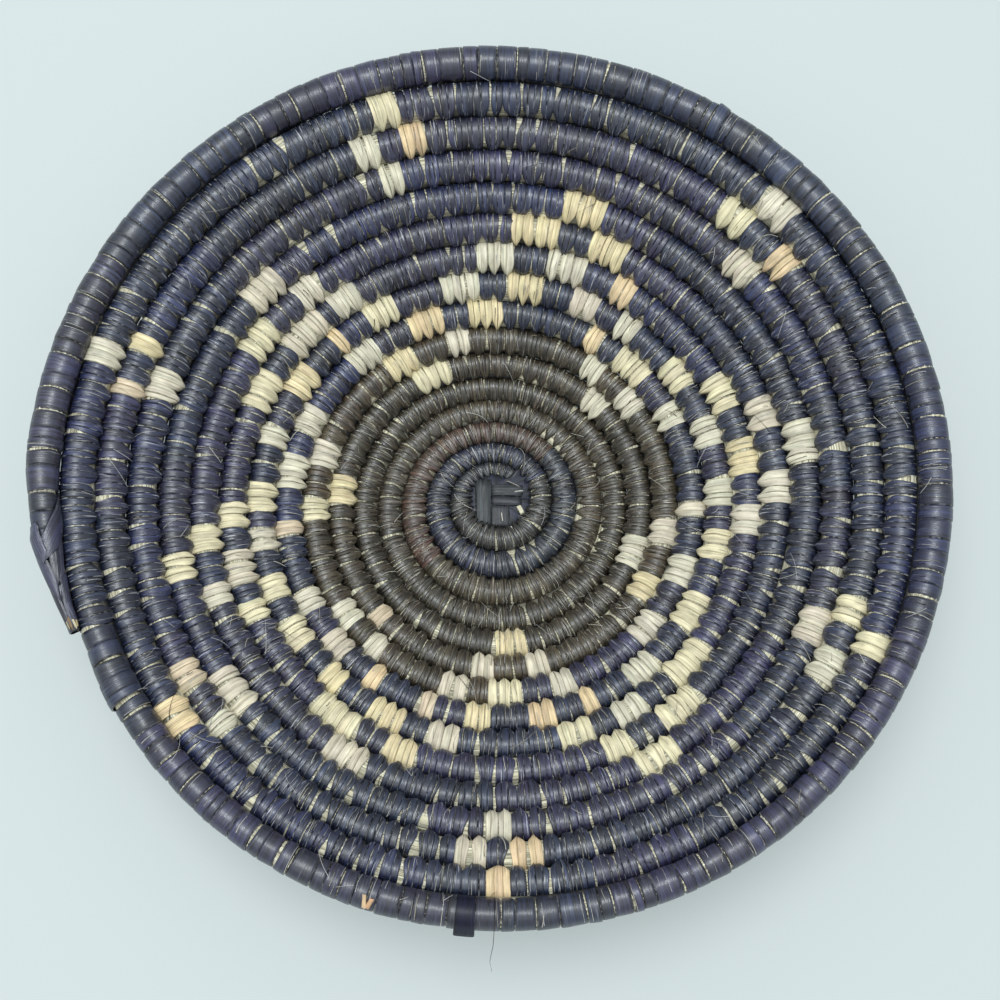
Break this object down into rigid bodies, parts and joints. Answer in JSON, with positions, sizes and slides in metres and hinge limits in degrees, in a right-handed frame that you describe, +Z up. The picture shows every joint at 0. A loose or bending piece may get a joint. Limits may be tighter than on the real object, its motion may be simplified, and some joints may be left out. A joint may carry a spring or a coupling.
{
  "type": "coiled basket bowl",
  "caption": "Shallow round coiled bowl: a grass bundle spiralled from a flat base to a flared rim, wrapped all along with dyed raffia, its end bound down at the rim.",
  "frame": {"origin": "middle of the base, on the plane that the bowl stands on", "axes": "+Z up out of the bowl's mouth; +X through the points where the coil's whole turns are counted; the coil's end at the rim lies near -X"},
  "size_m": [0.3022, 0.2981, 0.0693],
  "materials": {
    "navy_raffia": "satin dyed raffia",
    "indigo_raffia": "satin dyed raffia",
    "brown_raffia": "satin dyed raffia",
    "dried_grass": "matte dried grass",
    "natural_raffia": "satin undyed raffia"
  },
  "bodies": {
    "root": {"grass_bundle_coil": "dried_grass", "indigo_raffia_wrap_1": "indigo_raffia", "indigo_raffia_wrap_2": "indigo_raffia", "start_knot": "indigo_raffia", "start_strip_cross": "indigo_raffia", "start_strip_long": "indigo_raffia", "brown_raffia_wrap_1": "brown_raffia", "brown_raffia_wrap_2": "brown_raffia", "brown_raffia_wrap_3": "brown_raffia", "brown_raffia_wrap_4": "brown_raffia", "brown_raffia_wrap_5": "brown_raffia", "navy_raffia_wrap_1": "navy_raffia", "navy_raffia_wrap_2": "navy_raffia", "navy_raffia_wrap_3": "navy_raffia", "navy_raffia_wrap_4": "navy_raffia", "navy_raffia_wrap_5": "navy_raffia", "navy_raffia_wrap_6": "navy_raffia", "navy_raffia_wrap_7": "navy_raffia", "navy_raffia_wrap_8": "navy_raffia", "navy_raffia_wrap_9": "navy_raffia", "rim_end_binding": "navy_raffia", "rim_strip_tab": "navy_raffia", "rim_natural_tab": "natural_raffia"}
  },
  "joints": []
}
